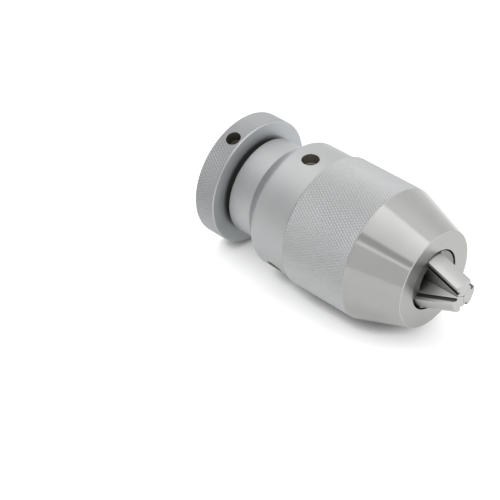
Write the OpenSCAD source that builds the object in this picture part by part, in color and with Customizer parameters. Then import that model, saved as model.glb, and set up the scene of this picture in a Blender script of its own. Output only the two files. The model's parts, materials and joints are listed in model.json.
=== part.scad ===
// Keyless self-tightening drill chuck, 13 mm capacity, taper mounted.
// The spindle axis is the X axis and the jaws point along +X.
// The origin is the centre of the taper socket's mouth, on the rear face.
// "Station" is a distance along X. "Clock" is an angle round X, measured from +Y towards +Z.

/* [Taper socket] */
// Diameter of the socket at its mouth
socket_mouth_d = 15.85; // [12:0.01:18]
// Diameter of the socket at full depth
socket_end_d = 14.237; // [10:0.001:16]
// Depth of the tapered socket
socket_depth = 25.4; // [20:0.1:26]

/* [Grip ring] */
// Diameter over the knurled rim
ring_d = 48; // [44:0.1:50]
// Width of the ring along the axis
ring_w = 9.3; // [7:0.1:11]
// Chamfer on the rear edge of the rim
ring_rear_chamfer = 0.9; // [0.2:0.1:1.5]
// Chamfer on the front edge of the rim
ring_front_chamfer = 0.4; // [0.1:0.1:1]
// Diameter of the spanner holes in the rim
ring_hole_d = 5.5; // [3:0.1:6]
// Depth of the spanner holes in the rim
ring_hole_depth = 5; // [3:0.1:7]
// Station of the spanner holes in the rim
ring_hole_x = 5.4; // [4:0.1:6]
// Clock of the first spanner hole in the rim
ring_hole_clock = 112.8; // [0:0.1:360]

/* [Rear cap] */
// Station where the collar starts
collar_x = 11.9; // [11:0.1:13]
// Diameter of the collar
collar_d = 36.6; // [35:0.1:38]
// Station where the collar meets the rear cone
collar_end_x = 21.8; // [20:0.1:23]
// Station where the rear cone ends
cone_end_x = 26.1; // [25:0.1:27]
// Diameter where the rear cone ends
cone_end_d = 42.8; // [41:0.1:44]
// Station where the plain band reaches its full diameter
band_x = 28.6; // [28:0.1:30]
// Diameter of the plain band
band_d = 47.8; // [46:0.1:49]
// Diameter of the spanner holes in the band
cap_hole_d = 6.3; // [4:0.1:7]
// Depth of the spanner holes in the band
cap_hole_depth = 4.4; // [3:0.1:4.6]
// Station of the spanner holes in the band
cap_hole_x = 35.4; // [33:0.1:38]
// Clock of the first spanner hole in the band
cap_hole_clock = 94.5; // [0:0.1:360]

/* [Sleeve and nose] */
// Diameter of the knurled sleeve
sleeve_d = 50; // [49:0.1:52]
// Station where the sleeve starts
sleeve_x = 43; // [42:0.1:44]
// Chamfer on the rear edge of the sleeve
sleeve_chamfer = 0.8; // [0.3:0.1:1.2]
// Station where the sleeve ends and the nose cone starts
nose_x = 71; // [69:0.1:72]
// Station of the nose's front face
nose_end_x = 90.6; // [89:0.1:92]
// Diameter of the nose's front face
nose_front_d = 36.4; // [34:0.1:38]
// Diameter of the opening in the nose
nose_bore_d = 22.6; // [22:0.1:24]

/* [Jaws] */
// Angle between a jaw's back and the spindle axis
jaw_angle = 20; // [19:0.1:21]
// Width of a jaw
jaw_w = 6.8; // [6:0.1:7]
// Height of the jaw's back edges above the axis, at the tip
jaw_tip_h = 5.1; // [4.8:0.1:5.3]
// Station of the jaw tips with the chuck closed
jaw_tip_x = 103.2; // [102:0.1:104]
// Clock of the first jaw
jaw_clock = 93; // [0:0.1:360]
// Distance along the axis that the jaws travel from closed to open
jaw_travel = 18; // [12:0.5:18]

/* [Spindle screw] */
// Outer diameter of the screw's left-hand thread
thread_d = 18; // [16:0.1:18]
// Advance of the thread in one turn
thread_lead = 3; // [3:1:3]
// Diameter of the screw's slotted head
head_d = 27.6; // [26:0.1:27.6]

/* [Thrust bearing] */
// Diameter of a ball
ball_d = 3; // [2.5:0.1:3]
// Number of balls
ball_count = 24; // [12:1:28]

/* [Hidden] */

// Number of holes, jaws, keys and pins round the chuck
trio = 3;
trio_step = 360 / trio;
// Smoothness of turned surfaces and of small holes
turned = 128;
small = 48;
// Amount by which one cutting shape runs past the surface it cuts
past = 0.5;

// Fits
run_fit = 0.05;
slide_fit = 0.1;
seat_fit = 0.05;

// Body
hub_r = 14.5;
body_front_r = 15;
shoulder_r = 18.6;
shoulder_x = 35.1;
shoulder_end_x = 39;
body_end_x = 52.5;
socket_relief_x = 28.5;
socket_step = 0.4;
socket_slope = (socket_mouth_d - socket_end_d) / 2 / socket_depth;
body_chamfer = 0.6;
pin_r = 1.25;
pin_len = 7;
pin_recess = 0.3;

// Rear cap
housing_r = 18.9;
ledge_x = 28.5;
cap_bore_r = 14.9;
bush_r = 15.6;
bush_x = 15.6;
bush_len = 9;
seal_r = 0.9;
seal_x = 13.8;
seal_groove_r = 16.4;
seal_groove_w = 2.1;
spigot_r = 22.2;
cap_end_x = 51;
edge_break = 0.15;
band_round_h = 0.7;
band_round_x = 1.3;

// Thrust bearing, from the cap's ledge to the body's shoulder
ball_r = ball_d / 2;
ball_pitch_r = (hub_r + housing_r) / 2;
race_t = 1.75;
ball_x = (ledge_x + race_t + run_fit) + ball_r;
cage_t = 1.6;
cage_gap = 0.3;
pocket_gap = 0.1;
washer_x = shoulder_end_x + run_fit;
washer_t = 1.25;
spring_t = 0.4;
spring_wave = 0.25;
spring_x = 40.95;
spring_waves = 3;
spring_steps = 60;
spring_r0 = 15.6;
spring_r1 = 18.6;
retainer_x = 41.6;
retainer_len = 4;
retainer_slot_w = 2.5;
retainer_slot_depth = 1.5;
front_ring_r = 15.4;

// Nose, guide and keys
nose_rear_x = 62;
nose_edge = 0.4;
nose_cone_front_r = 10.65;
nose_cone_rear_r = 20.95;
nose_cone_slope = (nose_cone_rear_r - nose_cone_front_r) / (nose_end_x - nose_rear_x);
nose_bore_end_x = nose_end_x - (nose_bore_d / 2 - nose_cone_front_r) / nose_cone_slope;
guide_x = 52.9;
guide_slot_x = 55;
guide_end_x = 90.2;
guide_bore_r = 7.4;
guide_skirt_r = 14.2;
key_w = 3;
key_x = 62;
key_len = 6;
key_r0 = 17.8;
key_r1 = 21.2;

// Spindle screw
thread_depth = 1.4;
thread_gap = 0.2;
thread_play = 0.15;
thread_flank_angle = 15;
thread_flank = tan(thread_flank_angle);
thread_mid_w = thread_lead / 2 - thread_play;
thread_steps = 30;
thread_root = 0.3;
thread_end = 1.5;
head_gap = 0.3;
head_x = body_end_x + jaw_travel + head_gap;
head_end_x = 78.8;
head_r = head_d / 2;
head_chamfer_x = 76.5;
head_front_r = 12.5;
screw_end_x = 46.8;
screw_chamfer = 0.4;
tee_x = 73;
tee_end_x = 76;
tee_w = 6.4;
neck_w = 4;

// Jaws
jaw_rear_x = 79;
jaw_reach_back = 62;
jaw_reach_ahead = 8;
jaw_clear_h = 4;
jaw_clear_depth = 40;
jaw_clear_r = 20;
jaw_back_r = 12;
jaw_cap_t = 1.4;
jaw_groove_w = 1;
jaw_groove_d = 0.9;
jaw_land_h = 0.25;
jaw_land_w = 0.7;
jaw_wedge = 59.7;
jaw_tip_r = 5.75;
foot_h0 = 3;
foot_h1 = 12.2;
jaw_crown = jaw_back_r - sqrt(jaw_back_r * jaw_back_r - jaw_w * jaw_w / 4);

function cone_r(x) = nose_cone_front_r + (nose_end_x - x) * nose_cone_slope;

// ---- helpers ----

// A solid of revolution round X, from points given as [radius, station]
module turned_part(points, facets = turned)
    rotate([0, 90, 0])
        rotate_extrude($fn = facets)
            polygon(points);

// A cylinder along X
module bar(r, x0, x1, facets = turned)
    translate([x0, 0, 0])
        rotate([0, 90, 0])
            cylinder(r = r, h = x1 - x0, $fn = facets);

// A flat ring round X
module washer(r0, r1, x0, x1)
    turned_part([[r0, x0], [r1, x0], [r1, x1], [r0, x1]]);

// Turns a shape drawn on the +Y side to its clock angle
module at_clock(angle)
    rotate([angle, 0, 0])
        children();

// Three copies round X, the first at its clock angle
module round_trio(angle)
    for (i = [0 : trio - 1])
        at_clock(angle + i * trio_step)
            children();

// A prism along X, from a profile given as [height above the axis, sideways]
module prism_x(points, x0, x1)
    translate([x0, 0, 0])
        rotate([90, 0, 90])
            linear_extrude(x1 - x0)
                polygon(points);

// A block between two stations and two heights, centred sideways
module block(x0, x1, h0, h1, w)
    prism_x([[h0, -w / 2], [h1, -w / 2], [h1, w / 2], [h0, w / 2]], x0, x1);

// A radial blind hole with a broken edge, entering at radius r
module spanner_hole(x, r, d, depth)
    translate([x, r, 0])
        rotate([90, 0, 0]) {
            translate([0, 0, -past])
                cylinder(d = d, h = depth + past, $fn = small);
            translate([0, 0, -past])
                cylinder(d1 = d + 2 * (edge_break + past), d2 = d, h = edge_break + past,
                         $fn = small);
        }

// A left-hand helical ridge round X, closed at both ends.
// Its profile runs from radius r0 with width w0 to radius r1 with width w1.
module thread_ridge(r0, w0, r1, w1, x0, x1, shift) {
    turns = (x1 - x0) / thread_lead;
    n = ceil(turns * thread_steps);
    corners = [[r0, -w0 / 2], [r1, -w1 / 2], [r1, w1 / 2], [r0, w0 / 2]];
    angle0 = (shift - x1) / thread_lead * 360;
    points = [for (i = [0 : n]) let (a = angle0 + i / n * turns * 360,
                                     x = x1 - i / n * (x1 - x0))
              for (c = corners) [x + c[1], c[0] * cos(a), c[0] * sin(a)]];
    inward = r1 < r0;
    sides = [for (i = [0 : n - 1]) for (k = [0 : 3]) let (m = (k + 1) % 4)
             for (t = [[4 * i + k, 4 * i + m, 4 * i + 4 + k],
                       [4 * i + m, 4 * i + 4 + m, 4 * i + 4 + k]]) t];
    caps = [[3, 1, 0], [3, 2, 1],
            [4 * n, 4 * n + 1, 4 * n + 3], [4 * n + 1, 4 * n + 2, 4 * n + 3]];
    faces = concat(sides, caps);
    polyhedron(points, inward ? [for (f = faces) [f[2], f[1], f[0]]] : faces, convexity = 10);
}

// ---- body group: turns with the machine spindle ----

module chuck_body()
    color([0.55, 0.56, 0.57]) {
        difference() {
            turned_part([[0, 0], [hub_r - body_chamfer, 0], [hub_r, body_chamfer],
                         [hub_r, shoulder_x], [shoulder_r, shoulder_x],
                         [shoulder_r, shoulder_end_x], [body_front_r, shoulder_end_x],
                         [body_front_r, body_end_x - body_chamfer],
                         [body_front_r - body_chamfer, body_end_x], [0, body_end_x]]);
            turned_part([[0, -past],
                         [socket_mouth_d / 2 + past * socket_slope, -past],
                         [socket_end_d / 2, socket_depth],
                         [socket_end_d / 2 - socket_step, socket_depth],
                         [socket_end_d / 2 - socket_step, socket_relief_x + past],
                         [0, socket_relief_x + past]]);
            bar(thread_d / 2 + thread_gap, socket_relief_x, body_end_x + past);
            round_trio(ring_hole_clock + trio_step / 2)
                translate([0, hub_r, 0])
                    bar(pin_r, -past, pin_len, small);
        }
        thread_ridge(thread_d / 2 + thread_gap + thread_root,
                     thread_mid_w + (thread_depth + 2 * thread_root) * thread_flank,
                     thread_d / 2 + thread_gap - thread_depth,
                     thread_mid_w - thread_depth * thread_flank,
                     socket_relief_x + thread_end, body_end_x - thread_end, thread_lead / 2);
    }

module grip_ring()
    color([0.74, 0.75, 0.76])
        difference() {
            turned_part([[hub_r, 0], [ring_d / 2 - ring_rear_chamfer, 0],
                         [ring_d / 2, ring_rear_chamfer],
                         [ring_d / 2, ring_w - ring_front_chamfer],
                         [ring_d / 2 - ring_front_chamfer, ring_w], [hub_r, ring_w]]);
            round_trio(ring_hole_clock)
                spanner_hole(ring_hole_x, ring_d / 2, ring_hole_d, ring_hole_depth);
            round_trio(ring_hole_clock + trio_step / 2)
                translate([0, hub_r, 0])
                    bar(pin_r, -past, pin_len, small);
        }

module grip_ring_pins()
    color([0.45, 0.46, 0.47])
        round_trio(ring_hole_clock + trio_step / 2)
            translate([0, hub_r, 0])
                bar(pin_r, pin_recess, pin_len, small);

module body_race()
    color([0.62, 0.63, 0.64])
        washer(hub_r, shoulder_r, shoulder_x - race_t, shoulder_x);

// ---- bearing group: rolls between body and sleeve ----

module thrust_balls()
    color([0.82, 0.83, 0.84])
        for (i = [0 : ball_count - 1])
            at_clock(i * 360 / ball_count)
                translate([ball_x, ball_pitch_r, 0])
                    sphere(d = ball_d, $fn = small);

module ball_cage()
    color([0.72, 0.58, 0.3])
        difference() {
            washer(hub_r + cage_gap, housing_r - cage_gap, ball_x - cage_t / 2, ball_x + cage_t / 2);
            for (i = [0 : ball_count - 1])
                at_clock(i * 360 / ball_count)
                    translate([0, ball_pitch_r, 0])
                        bar(ball_r + pocket_gap, ball_x - cage_t, ball_x + cage_t, small);
        }

// ---- sleeve group: turned by hand to open and close the chuck ----

module rear_cap()
    color([0.75, 0.76, 0.77])
        difference() {
            turned_part([[cap_bore_r, collar_x], [collar_d / 2 - edge_break, collar_x],
                         [collar_d / 2, collar_x + edge_break], [collar_d / 2, collar_end_x],
                         [cone_end_d / 2, cone_end_x],
                         [band_d / 2 - band_round_h, band_x - band_round_x],
                         [band_d / 2, band_x], [band_d / 2, sleeve_x - edge_break],
                         [band_d / 2 - edge_break, sleeve_x], [spigot_r, sleeve_x],
                         [spigot_r, cap_end_x], [housing_r, cap_end_x], [housing_r, ledge_x],
                         [cap_bore_r, ledge_x]]);
            washer(0, bush_r, bush_x, bush_x + bush_len);
            washer(0, seal_groove_r, seal_x - seal_groove_w / 2, seal_x + seal_groove_w / 2);
            round_trio(cap_hole_clock)
                spanner_hole(cap_hole_x, band_d / 2, cap_hole_d, cap_hole_depth);
        }

module dust_seal()
    color([0.12, 0.12, 0.12])
        translate([seal_x, 0, 0])
            rotate([0, 90, 0])
                rotate_extrude($fn = turned)
                    translate([hub_r + run_fit + seal_r, 0])
                        circle(r = seal_r, $fn = small);

module collar_bush()
    color([0.7, 0.52, 0.28])
        washer(hub_r + run_fit, bush_r, bush_x, bush_x + bush_len);

module cap_race()
    color([0.62, 0.63, 0.64])
        washer(cap_bore_r, housing_r, ledge_x, ledge_x + race_t);

module thrust_washer()
    color([0.7, 0.52, 0.28])
        washer(front_ring_r, housing_r, washer_x, washer_x + washer_t);

// A thin spring washer with three waves round it
module wave_spring() {
    n = spring_steps;
    ring = [for (i = [0 : n - 1]) let (a = i * 360 / n,
                                       x = spring_x + spring_wave * sin(a * spring_waves))
            for (c = [[spring_r0, -1], [spring_r1, -1], [spring_r1, 1], [spring_r0, 1]])
            [x + c[1] * spring_t / 2, c[0] * cos(a), c[0] * sin(a)]];
    faces = [for (i = [0 : n - 1]) for (k = [0 : 3])
             let (m = (k + 1) % 4, p = 4 * i, q = 4 * ((i + 1) % n))
             for (t = [[p + k, p + m, q + k], [p + m, q + m, q + k]]) t];
    color([0.5, 0.51, 0.52])
        polyhedron(ring, faces, convexity = 6);
}

module bearing_retainer()
    color([0.5, 0.51, 0.52])
        difference() {
            washer(front_ring_r, housing_r, retainer_x, retainer_x + retainer_len);
            for (a = [0, 90])
                at_clock(a)
                    block(retainer_x + retainer_len - retainer_slot_depth,
                          retainer_x + retainer_len + past,
                          -housing_r - past, housing_r + past, retainer_slot_w);
        }

module knurled_sleeve()
    color([0.75, 0.76, 0.77])
        turned_part([[spigot_r, sleeve_x], [sleeve_d / 2 - sleeve_chamfer, sleeve_x],
                     [sleeve_d / 2, sleeve_x + sleeve_chamfer], [sleeve_d / 2, nose_x],
                     [spigot_r, nose_x]]);

// The slots that the keys fill, between the guide and the nose
module key_slots()
    round_trio(jaw_clock + trio_step / 2)
        block(key_x - past, key_x + key_len, key_r0, key_r1, key_w);

module nose_cone()
    color([0.7, 0.7, 0.68])
        difference() {
            turned_part([[nose_cone_rear_r, nose_rear_x], [spigot_r, nose_rear_x],
                         [spigot_r, nose_x], [sleeve_d / 2, nose_x],
                         [nose_front_d / 2 + nose_edge / 2, nose_end_x - nose_edge],
                         [nose_front_d / 2 - nose_edge, nose_end_x],
                         [nose_bore_d / 2 + edge_break, nose_end_x],
                         [nose_bore_d / 2, nose_end_x - edge_break],
                         [nose_bore_d / 2, nose_bore_end_x]]);
            key_slots();
        }

// The inclined space that one jaw slides in, or the jaw's own outer form when gap is 0
module jaw_form(gap) {
    w = jaw_w / 2 + gap;
    g = jaw_w / 2 - jaw_groove_d + gap;
    cap = jaw_cap_t + gap;
    groove = jaw_cap_t + jaw_groove_w - gap;
    top = jaw_clear_h;
    depth = jaw_clear_depth;
    translate([jaw_tip_x, jaw_tip_h, 0])
        rotate([0, 0, -jaw_angle])
            prism_x([[top, -w], [-cap, -w], [-cap, -g], [-groove, -g], [-groove, -w],
                     [-depth, -w], [-depth, w], [-groove, w], [-groove, g], [-cap, g],
                     [-cap, w], [top, w]], -jaw_reach_back, jaw_reach_ahead);
}

module jaw_guide()
    color([0.58, 0.59, 0.6])
        difference() {
            turned_part([[guide_skirt_r, guide_x], [spigot_r - seat_fit, guide_x],
                         [spigot_r - seat_fit, nose_rear_x - seat_fit],
                         [cone_r(nose_rear_x) - seat_fit, nose_rear_x - seat_fit],
                         [cone_r(guide_end_x) - seat_fit, guide_end_x],
                         [guide_bore_r, guide_end_x], [guide_bore_r, head_end_x + head_gap],
                         [head_front_r + head_gap, head_end_x + head_gap],
                         [guide_skirt_r, head_chamfer_x + head_gap]]);
            round_trio(jaw_clock)
                intersection() {
                    jaw_form(slide_fit);
                    block(guide_slot_x, guide_end_x + past, 0, spigot_r + past,
                          jaw_w + 4 * past);
                }
            key_slots();
        }

module guide_keys()
    color([0.45, 0.46, 0.47])
        round_trio(jaw_clock + trio_step / 2)
            block(key_x, key_x + key_len, key_r0, key_r1, key_w);

// ---- screw group: threaded into the body, carries the jaws ----

module spindle_screw()
    color([0.5, 0.51, 0.52]) {
        difference() {
            turned_part([[0, screw_end_x],
                         [thread_d / 2 - thread_depth - screw_chamfer, screw_end_x],
                         [thread_d / 2 - thread_depth, screw_end_x + screw_chamfer],
                         [thread_d / 2 - thread_depth, head_x], [head_r, head_x],
                         [head_r, head_chamfer_x], [head_front_r, head_end_x],
                         [0, head_end_x]]);
            round_trio(jaw_clock) {
                block(tee_x, tee_end_x, 0, head_r + past, tee_w);
                block(tee_x, head_end_x + past, 0, head_r + past, neck_w);
            }
        }
        thread_ridge(thread_d / 2 - thread_depth - thread_root,
                     thread_mid_w + (thread_depth + 2 * thread_root) * thread_flank,
                     thread_d / 2, thread_mid_w - thread_depth * thread_flank,
                     screw_end_x + thread_end, head_x - thread_end, 0);
    }

// One jaw: a wedge with a crowned, inclined back, grooved sides and a tee foot
module jaw(index) {
    wedge_h = jaw_land_h + (jaw_w - jaw_land_w) / 2 / tan(jaw_wedge);
    top = jaw_clear_r;
    color([0.66, 0.66, 0.65])
        at_clock(jaw_clock + index * trio_step) {
            intersection() {
                jaw_form(0);
                translate([jaw_tip_x, jaw_tip_h, 0])
                    rotate([0, 0, -jaw_angle])
                        translate([0, jaw_crown - jaw_back_r, 0])
                            bar(jaw_back_r, -jaw_reach_back, jaw_reach_ahead);
                prism_x([[jaw_land_h, -jaw_land_w / 2], [wedge_h, -jaw_w / 2],
                         [top, -jaw_w / 2], [top, jaw_w / 2], [wedge_h, jaw_w / 2],
                         [jaw_land_h, jaw_land_w / 2]], jaw_rear_x, jaw_tip_x);
                turned_part([[0, jaw_rear_x], [top, jaw_rear_x],
                             [top, jaw_tip_x - (top - jaw_tip_r)],
                             [jaw_tip_r, jaw_tip_x], [0, jaw_tip_x]]);
            }
            block(tee_end_x - slide_fit, jaw_rear_x + past, foot_h0, foot_h1,
                  neck_w - 2 * slide_fit);
            block(tee_x + slide_fit, tee_end_x - slide_fit, foot_h0, foot_h1,
                  tee_w - 2 * slide_fit);
        }
}

module jaw_1()
    jaw(0);

module jaw_2()
    jaw(1);

module jaw_3()
    jaw(2);

chuck_body();
grip_ring();
grip_ring_pins();
rear_cap();
dust_seal();
collar_bush();
cap_race();
thrust_balls();
ball_cage();
body_race();
thrust_washer();
wave_spring();
bearing_retainer();
knurled_sleeve();
nose_cone();
jaw_guide();
guide_keys();
spindle_screw();
jaw_1();
jaw_2();
jaw_3();
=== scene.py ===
import json
import math

import bmesh
import bpy
from mathutils import Matrix, Vector


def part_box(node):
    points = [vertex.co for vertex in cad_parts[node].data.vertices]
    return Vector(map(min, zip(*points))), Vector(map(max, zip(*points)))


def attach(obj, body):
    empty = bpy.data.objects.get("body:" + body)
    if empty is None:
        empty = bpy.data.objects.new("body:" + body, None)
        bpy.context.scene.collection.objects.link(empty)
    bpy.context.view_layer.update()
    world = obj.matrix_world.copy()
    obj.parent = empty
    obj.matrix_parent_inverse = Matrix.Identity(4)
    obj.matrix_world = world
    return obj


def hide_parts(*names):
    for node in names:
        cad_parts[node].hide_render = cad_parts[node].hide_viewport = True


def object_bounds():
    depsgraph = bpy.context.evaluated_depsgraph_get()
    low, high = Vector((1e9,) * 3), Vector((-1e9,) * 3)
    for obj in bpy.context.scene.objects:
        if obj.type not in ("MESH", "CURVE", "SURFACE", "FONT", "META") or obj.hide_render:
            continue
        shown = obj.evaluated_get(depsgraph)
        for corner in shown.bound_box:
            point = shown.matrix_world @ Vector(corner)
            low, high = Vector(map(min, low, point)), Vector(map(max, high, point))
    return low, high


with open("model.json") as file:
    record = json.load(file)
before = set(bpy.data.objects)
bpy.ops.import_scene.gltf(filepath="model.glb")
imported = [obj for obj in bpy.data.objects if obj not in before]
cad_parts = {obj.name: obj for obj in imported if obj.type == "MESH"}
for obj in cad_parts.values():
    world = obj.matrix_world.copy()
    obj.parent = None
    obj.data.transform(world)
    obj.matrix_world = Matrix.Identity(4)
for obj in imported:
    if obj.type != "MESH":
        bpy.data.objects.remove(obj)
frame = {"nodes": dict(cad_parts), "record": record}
cad_lo, cad_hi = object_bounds()

# A keyless drill chuck. The spindle axis is the X axis, the jaws point along +X and Z is up.
# "Station" is a distance along X. An outline is a list of (station, radius, corner rounding).
MM = 0.001

# Columns round a turned piece and round a drilled hole, and steps in a rounded corner
TURNED = 288
DRILLED = 64
CORNER_STEPS = 4
# Rounding of an ordinary machined corner, the distance of the extra points beside a corner,
# and the smallest step between two points of an outline
BREAK = 0.12 * MM
SUPPORT = 0.3 * MM
STEP = 0.01 * MM
# Least x of the normal of a face that counts as square to the spindle, either way, and of a
# face on the front chamfer of the ring and on the front edge of the nose
SQUARE = 0.9999
RING_EDGE_TILT = 0.15
NOSE_EDGE_TILT = 0.5
NOSE_FACE_TILT = 0.98

# Diamond knurl: its pitch along the axis, the cells that a pitch has each way,
# the half width of a groove as a share of the pitch, and the depth of the grooves
KNURL_PITCH = 1.92 * MM
KNURL_CELLS = 6
KNURL_GROOVE = 1 / 3
SLEEVE_KNURL_DEPTH = 0.185 * MM
RIM_KNURL_DEPTH = 0.18 * MM
SLEEVE_STARTS = 138
RIM_STARTS = 133

# Broken edge and bottom corner of a spanner hole
HOLE_LIP = 0.25 * MM
HOLE_CORNER = 0.4 * MM

# Width of the burnished strip along an edge, which is also painted lighter as a highlight
WORN_AND_HIGHLIT_WIDTH = 0.35 * MM

# Old oil and painted shade: their colour, half the width of the oil in the seam behind the sleeve,
# and the distances from the axis where the painted shade starts to thin out and over which it does,
# round the hub and in a spanner hole
OIL_AND_SHADE = (0.032, 0.030, 0.023, 1)
SEAM_HALF = 0.1 * MM
HUB_SHADE_R = 17.0 * MM
HUB_SHADE_FADE = 1.8 * MM
HOLE_SHADE_R = 18.9 * MM
HOLE_SHADE_FADE = 1.4 * MM

# Texture scales, in cells a metre: tone of the metal, smudges, blasted grain, and pits
CLOUD_SCALE = 90
SMUDGE_SCALE = 45
GRAIN_SCALE = 5200
PIT_SCALE = 1300
BUMP_STRENGTH = 0.6

# Bore that the ring and the body share
HUB_R = 14.5 * MM

# Grip ring, and the pins that lock it to the body
RING_REAR_CHAMFER = 0.9 * MM
RING_FRONT_CHAMFER = 0.5 * MM
RING_FRONT_ROUND = 0.25 * MM
RING_HOLE_DEPTH = 5 * MM
PIN_R = 1.25 * MM
PIN_DEPTH = 7 * MM

# Rear cap: the collar, the cone behind the band, and the steps inside
COLLAR_R = 18.3 * MM
COLLAR_END = 21.8 * MM
CONE_END = 26.1 * MM
CONE_END_R = 21.4 * MM
SHOULDER = 27.3 * MM
SHOULDER_R = 23.2 * MM
BAND = 28.6 * MM
CAP_BORE_R = 14.9 * MM
CAP_LEDGE = 28.5 * MM
HOUSING_R = 18.9 * MM
SPIGOT_R = 22.2 * MM
CAP_HOLE_DEPTH = 4.4 * MM
SEAL_GROOVE_R = 16.4 * MM

# Sleeve and nose
SLEEVE_CHAMFER = 0.8 * MM
SLEEVE_FRONT_CHAMFER = 0.2 * MM
NOSE_START = 71 * MM
NOSE_FRONT_R = 18.2 * MM
NOSE_EDGE = 0.5 * MM
NOSE_BORE_EDGE = 0.25 * MM
NOSE_BORE_R = 11.3 * MM
NOSE_INNER_FRONT_R = 10.65 * MM
NOSE_INNER_REAR_R = 20.95 * MM

# Jaws: the clock angles, the slope of the back, the tip's station, the back edges' height
# there, and the width of a broken edge
JAW_CLOCKS = (93, 213, 333)
JAW_ANGLE = math.radians(20)
JAW_TIP = 103.2 * MM
JAW_TIP_H = 5.1 * MM
JAW_BREAK = 0.06 * MM
# The depths below a jaw's back between which its side, groove and all, is painted dark as shade, and
# the blur of that strip
SHADED_SIDE_TOP = 1.0 * MM
SHADED_SIDE_END = 2.4 * MM
EDGE_BLUR = 0.06 * MM


# ---- meshes ----

def rounded(outline):
    """The outline as plain (station, radius) points, each corner turned on its own arc."""
    points = []
    count = len(outline)
    for i, (x, r, rounding) in enumerate(outline):
        corner = Vector((x, r))
        if not rounding:
            points.append(corner)
            continue
        back = Vector(outline[i - 1][:2]) - corner
        ahead = Vector(outline[(i + 1) % count][:2]) - corner
        half = back.angle(ahead) / 2
        reach = min(rounding / math.tan(half), 0.45 * back.length, 0.45 * ahead.length)
        back.normalize()
        ahead.normalize()
        centre = corner + (back + ahead).normalized() * (reach / math.cos(half))
        start = corner + back * reach - centre
        end = corner + ahead * reach - centre
        for k in range(CORNER_STEPS + 1):
            points.append(centre + start.slerp(end, k / CORNER_STEPS) * start.length)
    return points


def supported(points):
    """The same outline with extra points beside each corner of a long straight run, so that
    what the material finds out about a corner stays at the corner."""
    done = [points[0]]
    for before, after in zip(points, points[1:]):
        run = after - before
        if run.length > 4 * SUPPORT:
            step = run.normalized() * SUPPORT
            done += [before + step, after - step]
        done.append(after)
    return done


def new_object(name, vertices, faces):
    """A linked object of those faces, with its normals outward."""
    mesh = bpy.data.meshes.new(name)
    mesh.from_pydata(vertices, [], faces)
    tidy = bmesh.new()
    tidy.from_mesh(mesh)
    bmesh.ops.recalc_face_normals(tidy, faces=tidy.faces)
    tidy.to_mesh(mesh)
    tidy.free()
    obj = bpy.data.objects.new(name, mesh)
    bpy.context.scene.collection.objects.link(obj)
    return obj


def ring_of(x, radii):
    """One ring of points round X, with its own radius in each column."""
    step = 2 * math.pi / len(radii)
    return [(x, r * math.cos(i * step), r * math.sin(i * step)) for i, r in enumerate(radii)]


def lathe(name, outline, columns=TURNED):
    """A closed solid of revolution round X."""
    vertices = []
    points = rounded(outline)
    points = supported(points + points[:1])[:-1]
    for x, r in points:
        vertices += ring_of(x, [r] * columns)
    faces = []
    for j in range(len(points)):
        k = (j + 1) % len(points)
        for i in range(columns):
            m = (i + 1) % columns
            faces.append((j * columns + i, j * columns + m, k * columns + m, k * columns + i))
    obj = new_object(name, vertices, faces)
    obj.data.polygons.foreach_set("use_smooth", [True] * len(obj.data.polygons))
    return obj


def groove(phase):
    """Depth of one family of knurl grooves, from 0 on a land to 1 on a groove's centre line."""
    off_centre = abs(phase - round(phase))
    return max(0.0, 1 - off_centre / KNURL_GROOVE)


def knurled_lathe(name, outline, start, end, starts, groove_depth):
    """A solid of revolution whose outline steps from point `start` to point `start` + 1 along
    a knurled land. Two families of helical grooves cross on it and leave flat-topped diamonds."""
    columns = starts * KNURL_CELLS
    plain = rounded(outline)
    x0, radius = start
    x1 = end
    rows = round((x1 - x0) / KNURL_PITCH * KNURL_CELLS)
    cell = (x1 - x0) / rows
    vertices, smooth = [], []
    first = min(range(len(plain)), key=lambda k: (plain[k] - Vector((x0, radius))).length)
    before = supported(plain[:first + 1])
    after = supported(plain[first + 1:] + plain[:1])[:-1]
    for x, r in before:
        vertices += ring_of(x, [r] * columns)
    for j in range(rows + 1):
        radii = []
        for i in range(columns):
            deep = max(groove((i + j) / KNURL_CELLS), groove((i - j) / KNURL_CELLS))
            radii.append(radius - groove_depth * deep)
        vertices += ring_of(x0 + j * cell, radii)
    for x, r in after:
        vertices += ring_of(x, [r] * columns)
    rings = len(before) + rows + 1 + len(after)
    knurl = range(len(before), len(before) + rows)
    faces = []
    for j in range(rings):
        k = (j + 1) % rings
        for i in range(columns):
            m = (i + 1) % columns
            a, b = j * columns + i, j * columns + m
            c, d = k * columns + m, k * columns + i
            if j not in knurl:
                faces.append((a, b, c, d))
                smooth.append(True)
            elif (i + j - len(before)) % 2:
                faces += [(a, b, d), (b, c, d)]
                smooth += [False, False]
            else:
                faces += [(a, b, c), (a, c, d)]
                smooth += [False, False]
    obj = new_object(name, vertices, faces)
    obj.data.polygons.foreach_set("use_smooth", smooth)
    return obj


def plug(name, outline, columns=DRILLED):
    """A solid pin along X, whose outline starts and ends on the axis."""
    points = [p for p in rounded(outline) if p.y > 0]
    vertices = []
    for x, r in points:
        vertices += ring_of(x, [r] * columns)
    faces = [tuple(range(columns)), tuple(range(len(vertices) - columns, len(vertices)))]
    for j in range(len(points) - 1):
        a, b = j * columns, (j + 1) * columns
        for i in range(columns):
            m = (i + 1) % columns
            faces.append((a + i, a + m, b + m, b + i))
    return new_object(name, vertices, faces)


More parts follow.
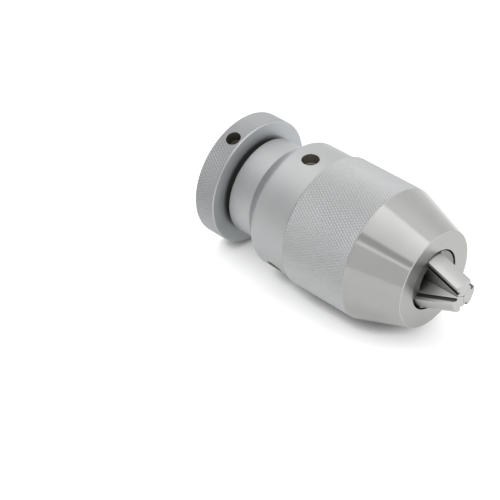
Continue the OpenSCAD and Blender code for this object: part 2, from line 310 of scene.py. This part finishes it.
def drill(obj, mounts, surface_r, depth, lining):
    """Cuts a radial spanner hole at each mount, with a broken edge and a rounded bottom corner."""
    for mount in mounts:
        r = mount["dims"]["r_mm"] * MM
        axis = Vector(mount["axis"])
        outline = [(HOLE_LIP, 0, 0), (HOLE_LIP, r + 2 * HOLE_LIP, 0), (-HOLE_LIP, r, 0),
                   (-depth, r, HOLE_CORNER), (-depth, 0, 0)]
        cutter = plug("cutter", outline)
        turn = axis.to_track_quat("X", "Z").to_matrix().to_4x4()
        mouth = Vector((mount["pos_m"][0], 0, 0)) + axis * surface_r
        cutter.matrix_world = Matrix.Translation(mouth) @ turn
        cut_away(obj, cutter, lining)


def drill_for_pins(obj, mounts, lining):
    """Cuts the half holes for the locking pins, midway between the spanner holes."""
    for mount in mounts:
        midway = Matrix.Rotation(math.pi / len(mounts), 3, "X") @ Vector(mount["axis"])
        cutter = plug("cutter", [(-PIN_R, 0, 0), (-PIN_R, PIN_R, 0), (PIN_DEPTH, PIN_R, 0),
                                 (PIN_DEPTH, 0, 0)])
        cutter.matrix_world = Matrix.Translation(midway * HUB_R)
        cut_away(obj, cutter, lining)


def cut_away(obj, cutter, lining):
    """Cuts the cutter's shape out of obj, and gives the cut faces the lining's material."""
    cutter.data.materials.append(lining)
    cut = obj.modifiers.new("hole", "BOOLEAN")
    cut.operation = "DIFFERENCE"
    cut.solver = "EXACT"
    cut.object = cutter
    cut.material_mode = "TRANSFER"
    settle(obj)
    bpy.data.objects.remove(cutter)


def settle(obj):
    """Applies every modifier on obj."""
    graph = bpy.context.evaluated_depsgraph_get()
    done = bpy.data.meshes.new_from_object(obj.evaluated_get(graph), depsgraph=graph)
    obj.modifiers.clear()
    obj.data = done


def flatten_ends(obj):
    """Shades the faces square to the spindle flat, so that long thin facets don't show on them."""
    for polygon in obj.data.polygons:
        if abs(polygon.normal.x) > SQUARE:
            polygon.use_smooth = False


def weigh_normals(obj):
    """Keeps wide faces evenly shaded beside their rounded corners."""
    weigh = obj.modifiers.new("normals", "WEIGHTED_NORMAL")
    weigh.keep_sharp = True


def soften_cad(node, width, limit_deg=20, weld_gap=0.002 * MM, flat_deg=0.4):
    """Breaks the sharp edges of a CAD node with modifiers, which leave its mesh as packed."""
    obj = frame["nodes"][node]
    weld = obj.modifiers.new("weld", "WELD")
    weld.merge_threshold = weld_gap
    flat = obj.modifiers.new("flat", "DECIMATE")
    flat.decimate_type = "DISSOLVE"
    flat.angle_limit = math.radians(flat_deg)
    bevel = obj.modifiers.new("edges", "BEVEL")
    bevel.width = width
    bevel.segments = 3
    bevel.limit_method = "ANGLE"
    bevel.angle_limit = math.radians(limit_deg)
    bevel.harden_normals = False
    weigh_normals(obj)


# ---- materials ----

class Shader:
    """A node material, built a node at a time."""

    def __init__(self, name):
        self.material = bpy.data.materials.new(name)
        self.material.use_nodes = True
        self.tree = self.material.node_tree
        self.surface = self.tree.nodes["Principled BSDF"]
        self.place = self.node("ShaderNodeTexCoord").outputs["Object"]

    def node(self, kind, inputs=(), **settings):
        made = self.tree.nodes.new(kind)
        for key, value in settings.items():
            setattr(made, key, value)
        for key, value in dict(inputs).items():
            if isinstance(value, bpy.types.NodeSocket):
                self.tree.links.new(value, made.inputs[key])
            else:
                made.inputs[key].default_value = value
        return made

    def link(self, output, name):
        self.tree.links.new(output, self.surface.inputs[name])

    def set(self, **values):
        for name, value in values.items():
            self.surface.inputs[name.replace("_", " ")].default_value = value

    def math(self, operation, a, b=0.0):
        return self.node("ShaderNodeMath", {0: a, 1: b}, operation=operation).outputs[0]

    def noise(self, place, scale, detail=2.0):
        made = self.node("ShaderNodeTexNoise", {"Vector": place, "Scale": scale, "Detail": detail})
        return made.outputs["Fac"]

    def spread(self, value, low, high, out_low=0.0, out_high=1.0):
        """value, stretched so that low to high gives out_low to out_high."""
        made = self.node("ShaderNodeMapRange", {"Value": value, "From Min": low, "From Max": high,
                                                "To Min": out_low, "To Max": out_high})
        return made.outputs[0]

    def mix(self, factor, a, b):
        made = self.node("ShaderNodeMix", data_type="RGBA")
        for index, value in ((0, factor), (6, a), (7, b)):
            if isinstance(value, bpy.types.NodeSocket):
                self.tree.links.new(value, made.inputs[index])
            else:
                made.inputs[index].default_value = value
        return made.outputs[2]

    def turned_place(self):
        """Texture space of (station, radius), in which noise becomes turning marks."""
        parts = self.node("ShaderNodeSeparateXYZ", {0: self.place})
        square_y = self.math("MULTIPLY", parts.outputs[1], parts.outputs[1])
        square_z = self.math("MULTIPLY", parts.outputs[2], parts.outputs[2])
        radius = self.math("SQRT", self.math("ADD", square_y, square_z))
        return self.node("ShaderNodeCombineXYZ", {0: parts.outputs[0], 1: radius}).outputs[0]

    def stretched_place(self, angle, along):
        """Texture space turned by angle about Z and shortened by along on its own X."""
        made = self.node("ShaderNodeMapping", {"Vector": self.place, "Rotation": (0, 0, angle),
                                               "Scale": (along, 1, 1)})
        return made.outputs[0]

    def edge_wear_and_highlight(self):
        """1 on a corner that handling has burnished and that is painted lighter as a highlight, and 0
        on a flat.
        """
        blunt = self.node("ShaderNodeBevel", {"Radius": WORN_AND_HIGHLIT_WIDTH}, samples=4).outputs[0]
        true = self.node("ShaderNodeNewGeometry").outputs["Normal"]
        same = self.node("ShaderNodeVectorMath", {0: blunt, 1: true}, operation="DOT_PRODUCT")
        return self.spread(same.outputs["Value"], 0.99, 0.90, 0, 1)

    def painted_gap_shade(self, reach, open_sky):
        """1 deep in a gap, where the colour is painted darkest as shade, and 0 where open_sky or more
        is seen.
        """
        sky = self.node("ShaderNodeAmbientOcclusion", {"Distance": reach}, samples=8).outputs["AO"]
        return self.spread(sky, 0.05, open_sky, 1, 0)

    def facing_front(self, low, high):
        """0 on a face that looks less than low towards the jaws' end, and 1 above high."""
        true = self.node("ShaderNodeNewGeometry").outputs["Normal"]
        ahead = self.node("ShaderNodeSeparateXYZ", {0: true}).outputs[0]
        return self.spread(ahead, low, high)

    def jaw_depth(self, clock_deg):
        """Depth below a jaw's back, for the jaw at that clock angle."""
        upright = self.node("ShaderNodeVectorRotate", {
            "Vector": self.place, "Axis": (1, 0, 0), "Angle": -math.radians(clock_deg)})
        parts = self.node("ShaderNodeSeparateXYZ", {0: upright.outputs[0]}).outputs
        ahead = self.math("SUBTRACT", parts[0], JAW_TIP)
        above = self.math("SUBTRACT", parts[1], JAW_TIP_H)
        return self.math("MULTIPLY", -1.0, self.math(
            "ADD", self.math("MULTIPLY", ahead, math.sin(JAW_ANGLE)),
            self.math("MULTIPLY", above, math.cos(JAW_ANGLE))))

    def bump(self, height, distance, strength):
        made = self.node("ShaderNodeBump", {"Height": height, "Distance": distance,
                                            "Strength": strength})
        self.link(made.outputs[0], "Normal")


def colour(r, g, b):
    return (r, g, b, 1)


def tinted(value, factor):
    return colour(*[min(1, c * factor) for c in value[:3]])


def metal(name, base, roughness, marks, mark_depth, wear_and_highlight=0.5, anisotropic=0.0, patchy=0.06,
          painted_shade=0.7, reach=4 * MM, open_sky=0.5, stain_and_shade=None, metallic=1.0):
    """A bare or plated metal. marks takes the shader and returns the height of its fine marks.
    The gap setting is how dark the painted shade in a gap gets. The stain setting takes the shader
    and returns where it's black anyway: real oil in the seam, pits, and painted shade in the
    spanner holes, round the hub and along the jaws' sides."""
    shader = Shader(name)
    height = marks(shader)
    cloud = shader.spread(shader.noise(shader.place, CLOUD_SCALE, 4), 0.3, 0.7)
    fresh = shader.mix(cloud, tinted(base, 1 - patchy / 2), tinted(base, 1 + patchy / 2))
    # Corners are painted lighter: burnished wear, and a painted highlight along the edge.
    worn_and_highlit = shader.math("MULTIPLY", shader.edge_wear_and_highlight(), wear_and_highlight)
    clean = shader.mix(worn_and_highlit, fresh, tinted(base, 1.5))
    # Painted shade: the colour goes dark in gaps and hollows by ambient occlusion, and also where the
    # stain setting asks for it.
    oil_and_shade = shader.math("MULTIPLY", shader.painted_gap_shade(reach, open_sky), painted_shade)
    if stain_and_shade:
        oil_and_shade = shader.math("MAXIMUM", oil_and_shade, stain_and_shade(shader))
    shader.link(shader.mix(oil_and_shade, clean, OIL_AND_SHADE), "Base Color")
    rough = shader.spread(height, 0.25, 0.75, roughness * 0.88, roughness * 1.12)
    smudge = shader.spread(shader.noise(shader.place, SMUDGE_SCALE, 3), 0.35, 0.65, 0.95, 1.06)
    burnished = shader.spread(worn_and_highlit, 0, 1, 1, 0.75)
    rough = shader.math("MULTIPLY", shader.math("MULTIPLY", rough, smudge), burnished)
    shader.link(rough, "Roughness")
    shader.set(Metallic=metallic)
    if anisotropic:
        tangent = shader.node("ShaderNodeTangent", direction_type="RADIAL", axis="X")
        shader.link(tangent.outputs[0], "Tangent")
        shader.set(Anisotropic=anisotropic, Anisotropic_Rotation=0.25)
    shader.bump(height, mark_depth, BUMP_STRENGTH)
    return shader.material


def jaw_side_painted_shade(clock_deg):
    """Painted shade along the sides of the jaw at that clock angle, groove and all."""
    def stain_and_shade(shader):
        depth = shader.jaw_depth(clock_deg)
        below = shader.spread(depth, SHADED_SIDE_TOP - EDGE_BLUR, SHADED_SIDE_TOP + EDGE_BLUR, 0, 1)
        above = shader.spread(depth, SHADED_SIDE_END - EDGE_BLUR, SHADED_SIDE_END + EDGE_BLUR, 1, 0)
        band = shader.math("MULTIPLY", below, above)
        beside = shader.spread(shader.facing_front(0.45, 0.6), 0, 1, 0.9, 0)
        return shader.math("MULTIPLY", beside, band)
    return stain_and_shade


def seam(shader):
    """The line of oil between the rear cap and the sleeve."""
    station = shader.node("ShaderNodeSeparateXYZ", {0: shader.place}).outputs[0]
    off = shader.math("ABSOLUTE", shader.math("SUBTRACT", station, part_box("knurled_sleeve")[0].x))
    return shader.spread(off, SEAM_HALF, 2.5 * SEAM_HALF, 0.7, 0)


def hub_painted_shade(shader):
    """Painted shade round the hub, on the face that the collar covers."""
    radius = shader.node("ShaderNodeSeparateXYZ", {0: shader.turned_place()}).outputs[1]
    painted_shade_near = shader.spread(radius, HUB_SHADE_R, HUB_SHADE_R + HUB_SHADE_FADE, 0.92, 0)
    return shader.math("MULTIPLY", shader.facing_front(0.5, 0.6), painted_shade_near)


def hole_painted_shade(shader):
    """Painted shade at the bottom of a spanner hole, thinning out towards its mouth."""
    radius = shader.node("ShaderNodeSeparateXYZ", {0: shader.turned_place()}).outputs[1]
    return shader.spread(radius, HOLE_SHADE_R, HOLE_SHADE_R + HOLE_SHADE_FADE, 0.88, 0)


def pits(shader):
    """A few tiny pits on the end face of the nose."""
    deep = shader.spread(shader.noise(shader.place, PIT_SCALE, 1), 0.76, 0.80, 0, 0.8)
    return shader.math("MULTIPLY", shader.facing_front(0.97, 0.99), deep)


def blasted(shader):
    """The even matt grain of a blasted surface under plating."""
    return shader.noise(shader.place, GRAIN_SCALE, 3)


def turning(shader):
    """Fine circular marks left by turning or cylindrical grinding."""
    place = shader.turned_place()
    fine = shader.noise(place, 9000, 4)
    coarse = shader.noise(place, 1500, 2)
    return shader.math("ADD", shader.math("MULTIPLY", fine, 0.7), shader.math("MULTIPLY", coarse, 0.3))


def lengthwise(shader):
    """Fine marks of a surface grinder, along a jaw's inclined length."""
    place = shader.stretched_place(JAW_ANGLE, 0.02)
    return shader.noise(place, 7000, 4)


def drawn(shader):
    """Marks of a broach or a reamer, along X."""
    return shader.noise(shader.stretched_place(0, 0.03), 5000, 3)


def speckled(shader):
    """The open grain of sintered bronze or moulded rubber."""
    return shader.noise(shader.place, 3500, 5)


def make_materials():
    """Every material, by the name of the surface that it is for."""
    made = {
        "satin": metal("satin_plate", colour(0.365, 0.371, 0.374), 0.5, blasted, 0.004 * MM,
                       stain_and_shade=seam),
        # A lighter copy of the plating for the sleeve's knurl: painted light that makes up for the
        # shade in its grooves.
        "knurl": metal("satin_knurl_painted_lighter", colour(0.382, 0.388, 0.391), 0.5, blasted, 0.004 * MM,
                       wear_and_highlight=0.12, painted_shade=0.3, reach=1.5 * MM, open_sky=0.6, stain_and_shade=seam),
        # A lighter, glossier copy of the plating for the ring's front chamfer: a painted highlight
        # along the edge.
        "edge": metal("satin_edge_painted_highlight", colour(0.39, 0.398, 0.403), 0.42, blasted, 0.002 * MM,
                      wear_and_highlight=0.1, painted_shade=0),
        # A darker copy of the plating for the grip ring's knurled rim: painted shade.
        "rim": metal("satin_rim_painted_darker", colour(0.30, 0.307, 0.312), 0.5, blasted, 0.004 * MM,
                     wear_and_highlight=0.12, painted_shade=0.3, reach=1.5 * MM, open_sky=0.6),
        # A lighter copy of the plating, with turning marks, for the ring's end faces: painted light
        # where the faces get too little, with painted shade round the hub on top.
        "face": metal("satin_turned_face_painted_lighter", colour(0.39, 0.407, 0.418), 0.42, turning, 0.001 * MM,
                      painted_shade=0.85, reach=3 * MM, open_sky=0.55, metallic=0.6,
                      stain_and_shade=hub_painted_shade),
        "ground": metal("ground_nose", colour(0.310, 0.310, 0.302), 0.20, turning, 0.0012 * MM,
                        anisotropic=0.75, wear_and_highlight=0.9),
        # A lighter copy of the ground steel for the nose's front edge: a painted highlight along the
        # edge.
        "ground_edge": metal("ground_nose_edge_painted_highlight", colour(0.40, 0.40, 0.39), 0.42, turning,
                             0.001 * MM, wear_and_highlight=0.3, painted_shade=0),
        "ground_face": metal("ground_end_face", colour(0.335, 0.335, 0.325), 0.36, turning,
                             0.0015 * MM, stain_and_shade=pits),
        # The guide and the body are painted dark in their gaps as shade, which keeps the gap between
        # the grip ring and the collar black.
        "guide": metal("guide_steel", colour(0.21, 0.212, 0.208), 0.45, turning, 0.002 * MM,
                       painted_shade=0.95),
        "body": metal("body_steel", colour(0.30, 0.304, 0.308), 0.34, turning, 0.002 * MM,
                      painted_shade=0.9),
        "dark": metal("blackened_steel", colour(0.08, 0.08, 0.084), 0.38, turning, 0.002 * MM),
        "pin": metal("pin_steel", colour(0.30, 0.30, 0.30), 0.30, turning, 0.001 * MM),
        # The spanner holes are painted dark inside as shade.
        "drilled": metal("drilled_steel", colour(0.37, 0.355, 0.315), 0.45, turning, 0.003 * MM,
                         wear_and_highlight=0, painted_shade=0.95, reach=5 * MM, open_sky=0.6, stain_and_shade=hole_painted_shade),
        "race": metal("race_steel", colour(0.42, 0.42, 0.41), 0.18, turning, 0.0008 * MM),
        "ball": metal("ball_steel", colour(0.48, 0.48, 0.475), 0.08, drawn, 0.0002 * MM),
        "bronze": metal("bearing_bronze", colour(0.37, 0.24, 0.115), 0.38, speckled, 0.003 * MM),
        "rubber": metal("seal_rubber", colour(0.02, 0.02, 0.022), 0.6, speckled, 0.003 * MM,
                        metallic=0.0),
    }
    # The jaws are painted darker towards their roots as shade, over a long reach, and along their
    # sides.
    for number, clock in enumerate(JAW_CLOCKS, 1):
        made[f"jaw_{number}"] = metal(f"ground_jaw_{number}", colour(0.365, 0.365, 0.356), 0.36,
                                      lengthwise, 0.0012 * MM, painted_shade=0.85, reach=9 * MM,
                                      open_sky=0.9, stain_and_shade=jaw_side_painted_shade(clock))
    return made


# ---- pieces ----

def mounts_named(prefix):
    return [m for m in frame["record"]["mounts"] if m["name"].startswith(prefix)]


def finish_piece(obj, body, node):
    """Shades the piece, puts it on its body and hides the CAD node that it stands for."""
    flatten_ends(obj)
    weigh_normals(obj)
    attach(obj, body)
    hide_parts(node)


def give(obj, material):
    """Puts material first among obj's, before any hole's lining is cut into it."""
    obj.data.materials.clear()
    obj.data.materials.append(material)


def dress_faces(obj, material, chosen):
    """Gives the chosen faces their own material."""
    obj.data.materials.append(material)
    for polygon in obj.data.polygons:
        if chosen(polygon):
            polygon.material_index = len(obj.data.materials) - 1


def face_ends(obj, material):
    """Gives the faces square to the spindle their own material."""
    dress_faces(obj, material, lambda polygon: abs(polygon.normal.x) > SQUARE)


def build_grip_ring(materials):
    lo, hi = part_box("grip_ring")
    r = hi.z
    rear = lo.x + RING_REAR_CHAMFER
    front = hi.x - RING_FRONT_CHAMFER
    outline = [(hi.x, HUB_R, BREAK), (lo.x, HUB_R, BREAK),
               (lo.x, r - RING_REAR_CHAMFER, BREAK),
               (rear - RIM_KNURL_DEPTH, r - RIM_KNURL_DEPTH, 0),
               (front + STEP, r, 0),
               (hi.x, r - RING_FRONT_CHAMFER, RING_FRONT_ROUND)]
    obj = knurled_lathe("grip_ring_knurled", outline, (rear, r), front, RIM_STARTS,
                        RIM_KNURL_DEPTH)
    give(obj, materials["rim"])
    drill(obj, mounts_named("ring_spanner_hole"), r, RING_HOLE_DEPTH, materials["drilled"])
    drill_for_pins(obj, mounts_named("ring_spanner_hole"), materials["drilled"])
    face_ends(obj, materials["face"])
    # The ring's front chamfer gets the lighter copy, a painted highlight.
    dress_faces(obj, materials["edge"], lambda polygon: polygon.center.x > front
                and RING_EDGE_TILT < polygon.normal.x < SQUARE)
    finish_piece(obj, "arbor", "grip_ring")


def build_rear_cap(materials):
    lo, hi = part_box("rear_cap")
    sleeve_lo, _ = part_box("knurled_sleeve")
    bush_lo, bush_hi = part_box("collar_bush")
    seal_lo, seal_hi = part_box("dust_seal")
    r = hi.z
    outline = [(lo.x, CAP_BORE_R, BREAK), (lo.x, COLLAR_R, 0.2 * MM),
               (COLLAR_END, COLLAR_R, 0.5 * MM), (CONE_END, CONE_END_R, 0.4 * MM),
               (SHOULDER, SHOULDER_R, 0.9 * MM), (BAND, r, 1.6 * MM),
               (sleeve_lo.x, r, 0.3 * MM), (sleeve_lo.x, SPIGOT_R, 0), (hi.x, SPIGOT_R, BREAK),
               (hi.x, HOUSING_R, BREAK), (CAP_LEDGE, HOUSING_R, 0), (CAP_LEDGE, CAP_BORE_R, 0),
               (bush_hi.x, CAP_BORE_R, 0), (bush_hi.x, bush_hi.z, 0), (bush_lo.x, bush_hi.z, 0),
               (bush_lo.x, CAP_BORE_R, 0), (seal_hi.x, CAP_BORE_R, 0),
               (seal_hi.x, SEAL_GROOVE_R, 0), (seal_lo.x, SEAL_GROOVE_R, 0),
               (seal_lo.x, CAP_BORE_R, 0)]
    obj = lathe("rear_cap_turned", outline)
    give(obj, materials["satin"])
    drill(obj, mounts_named("cap_spanner_hole"), r, CAP_HOLE_DEPTH, materials["drilled"])
    finish_piece(obj, "sleeve", "rear_cap")


def build_sleeve(materials):
    lo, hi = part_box("knurled_sleeve")
    r = hi.z
    rear = lo.x + SLEEVE_CHAMFER
    front = hi.x - SLEEVE_FRONT_CHAMFER
    outline = [(hi.x, SPIGOT_R, 0), (lo.x, SPIGOT_R, 0),
               (lo.x, r - SLEEVE_CHAMFER, BREAK),
               (rear - SLEEVE_KNURL_DEPTH, r - SLEEVE_KNURL_DEPTH, 0),
               (front + STEP, r, 0),
               (hi.x, r - SLEEVE_FRONT_CHAMFER, 0)]
    obj = knurled_lathe("sleeve_knurled", outline, (rear, r), front, SLEEVE_STARTS,
                        SLEEVE_KNURL_DEPTH)
    give(obj, materials["knurl"])
    finish_piece(obj, "sleeve", "knurled_sleeve")


def build_nose(materials):
    lo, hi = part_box("nose_cone")
    slope = (NOSE_INNER_REAR_R - NOSE_INNER_FRONT_R) / (hi.x - lo.x)
    bore_end = hi.x - (NOSE_BORE_R - NOSE_INNER_FRONT_R) / slope
    outline = [(lo.x, NOSE_INNER_REAR_R, 0), (lo.x, SPIGOT_R, BREAK),
               (NOSE_START, SPIGOT_R, 0), (NOSE_START, hi.z, BREAK),
               (hi.x, NOSE_FRONT_R, NOSE_EDGE),
               (hi.x, NOSE_BORE_R, NOSE_BORE_EDGE), (bore_end, NOSE_BORE_R, 0)]
    obj = lathe("nose_cone_ground", outline)
    give(obj, materials["ground"])
    face_ends(obj, materials["ground_face"])
    # The nose's front edge gets the lighter copy, a painted highlight.
    dress_faces(obj, materials["ground_edge"], lambda polygon:
                NOSE_EDGE_TILT < polygon.normal.x < NOSE_FACE_TILT
                and polygon.center.x > hi.x - NOSE_EDGE
                and polygon.center.yz.length > NOSE_BORE_R + NOSE_EDGE)
    finish_piece(obj, "sleeve", "nose_cone")


def dress_cad_nodes(materials):
    """Materials for the CAD nodes whose shape is shown as packed."""
    looks = {
        "chuck_body": "body", "grip_ring_pins": "pin", "body_race": "race", "cap_race": "race",
        "thrust_balls": "ball", "ball_cage": "bronze", "dust_seal": "rubber",
        "collar_bush": "bronze", "thrust_washer": "bronze", "wave_spring": "race",
        "bearing_retainer": "dark", "jaw_guide": "guide", "guide_keys": "pin",
        "spindle_screw": "dark", "jaw_1": "jaw_1", "jaw_2": "jaw_2", "jaw_3": "jaw_3",
    }
    for node, look in looks.items():
        give(frame["nodes"][node], materials[look])
    for node in ("jaw_1", "jaw_2", "jaw_3"):
        soften_cad(node, JAW_BREAK)


# ---- studio ----

def build_floor():
    """White paper under the object, with painted light on it: it glows a little, most from 15 to 30 mm
    beside the spindle's line, and a painted shadow darkens it close to the object, which leaves a
    small soft shadow on an even white."""
    size = 4.0
    shadow_reach, shadow_sky = 6 * MM, 0.7
    lo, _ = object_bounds()
    bpy.ops.mesh.primitive_plane_add(size=size, location=(0, 0, lo.z))
    floor = bpy.context.object
    floor.name = "floor"
    shader = Shader("floor_paper")
    shade = shader.spread(shader.noise(shader.place, 6, 2), 0.3, 0.7)
    paper = shader.mix(shade, colour(0.84, 0.84, 0.84), colour(0.86, 0.86, 0.86))
    # Painted shadow: the paper's colour goes dark where the object hides the room.
    painted_shade_near = shader.painted_gap_shade(shadow_reach, shadow_sky)
    shader.link(shader.mix(painted_shade_near, paper, colour(0.1, 0.1, 0.1)), "Base Color")
    aside = shader.math("ABSOLUTE", shader.node("ShaderNodeSeparateXYZ", {0: shader.place}).outputs[1])
    inner = shader.spread(aside, 4 * MM, 15 * MM, 0.2, 0.3)
    outer = shader.spread(aside, 30 * MM, 70 * MM, 1, 0.4)
    # Painted glow, dimmer inside the painted shadow.
    painted_glow = shader.math("MULTIPLY", inner, outer)
    painted_glow = shader.math("MULTIPLY", painted_glow, shader.spread(painted_shade_near, 0, 0.6, 1, 0.3))
    shader.link(painted_glow, "Emission Strength")
    shader.set(Roughness=0.9, Specular_IOR_Level=0.1, Emission_Color=colour(1, 1, 1))
    floor.data.materials.append(shader.material)


def area_light(name, place, target, size_x, size_y, radiance):
    """A rectangular light of that radiance, whose energy therefore goes with its area."""
    data = bpy.data.lights.new(name, "AREA")
    data.shape = "RECTANGLE"
    data.size = size_x
    data.size_y = size_y
    data.energy = radiance * math.pi * size_x * size_y
    light = bpy.data.objects.new(name, data)
    bpy.context.scene.collection.objects.link(light)
    light.location = place
    light.rotation_mode = "QUATERNION"
    light.rotation_quaternion = (Vector(target) - Vector(place)).to_track_quat("-Z", "Y")
    light.visible_camera = False


def toward(azimuth_deg, elevation_deg):
    """The unit vector to the given azimuth, from -Y towards +X, and elevation."""
    azimuth, elevation = math.radians(azimuth_deg), math.radians(elevation_deg)
    return Vector((math.sin(azimuth) * math.cos(elevation),
                   -math.cos(azimuth) * math.cos(elevation), math.sin(elevation)))


def smooth_range(tree, value, source, target):
    """value, taken from the source range to the target range without a kink at either end."""
    made = tree.nodes.new("ShaderNodeMapRange")
    made.interpolation_type = "SMOOTHSTEP"
    for name, number in zip(("From Min", "From Max", "To Min", "To Max"), source + target):
        made.inputs[name].default_value = number
    tree.links.new(value, made.inputs["Value"])
    return made.outputs[0]


def build_lights():
    """A room that is brighter behind than in front, and three soft lights."""
    world = bpy.data.worlds.new("studio")
    bpy.context.scene.world = world
    world.use_nodes = True
    tree = world.node_tree
    direction = tree.nodes.new("ShaderNodeTexCoord").outputs["Generated"]
    parts = tree.nodes.new("ShaderNodeSeparateXYZ")
    tree.links.new(direction, parts.inputs[0])
    # The wall behind the table is brighter than the room in front, and brightest up high
    rise = smooth_range(tree, parts.outputs[1], (-0.6, 0.5), (0.84, 1.62))
    fall = smooth_range(tree, parts.outputs[1], (0.45, 0.95), (1, 0.84))
    both = tree.nodes.new("ShaderNodeMath")
    both.operation = "MULTIPLY"
    tree.links.new(rise, both.inputs[0])
    tree.links.new(fall, both.inputs[1])
    tree.links.new(both.outputs[0], tree.nodes["Background"].inputs["Strength"])
    tree.nodes["Background"].inputs["Color"].default_value = colour(1, 1, 1)
    centre = (cad_lo + cad_hi) / 2
    area_light("overhead", centre + Vector((0, -0.15, 0.9)), centre, 1.6, 0.92, 0.82)
    area_light("front", centre + Vector((0.9, -1.1, 0.45)), centre, 2.6, 1.1, 0.38)
    area_light("strip", centre + toward(13, 38), centre, 0.8, 0.08, 1.2)


def build_camera():
    """Looks down on the jaws from the front and side, as the photographer did."""
    azimuth, elevation = 43.54, 38.28
    distance, shift_left, shift_up = 0.5923, 0.04798, 0.001675
    back = toward(azimuth, elevation)
    right = toward(azimuth + 90, 0)
    up = back.cross(right)
    data = bpy.data.cameras.new("camera")
    data.lens = 124.2
    data.sensor_width = 36
    camera = bpy.data.objects.new("camera", data)
    bpy.context.scene.collection.objects.link(camera)
    camera.location = (Vector((NOSE_START, 0, 0)) + back * distance
                       - right * shift_left + up * shift_up)
    camera.rotation_mode = "QUATERNION"
    camera.rotation_quaternion = Matrix((right, up, back)).transposed().to_quaternion()
    data.clip_start = 0.01
    bpy.context.scene.camera = camera
    bpy.context.scene.view_settings.view_transform = "Standard"


materials = make_materials()
build_grip_ring(materials)
build_rear_cap(materials)
build_sleeve(materials)
build_nose(materials)
dress_cad_nodes(materials)
build_floor()
build_lights()
build_camera()
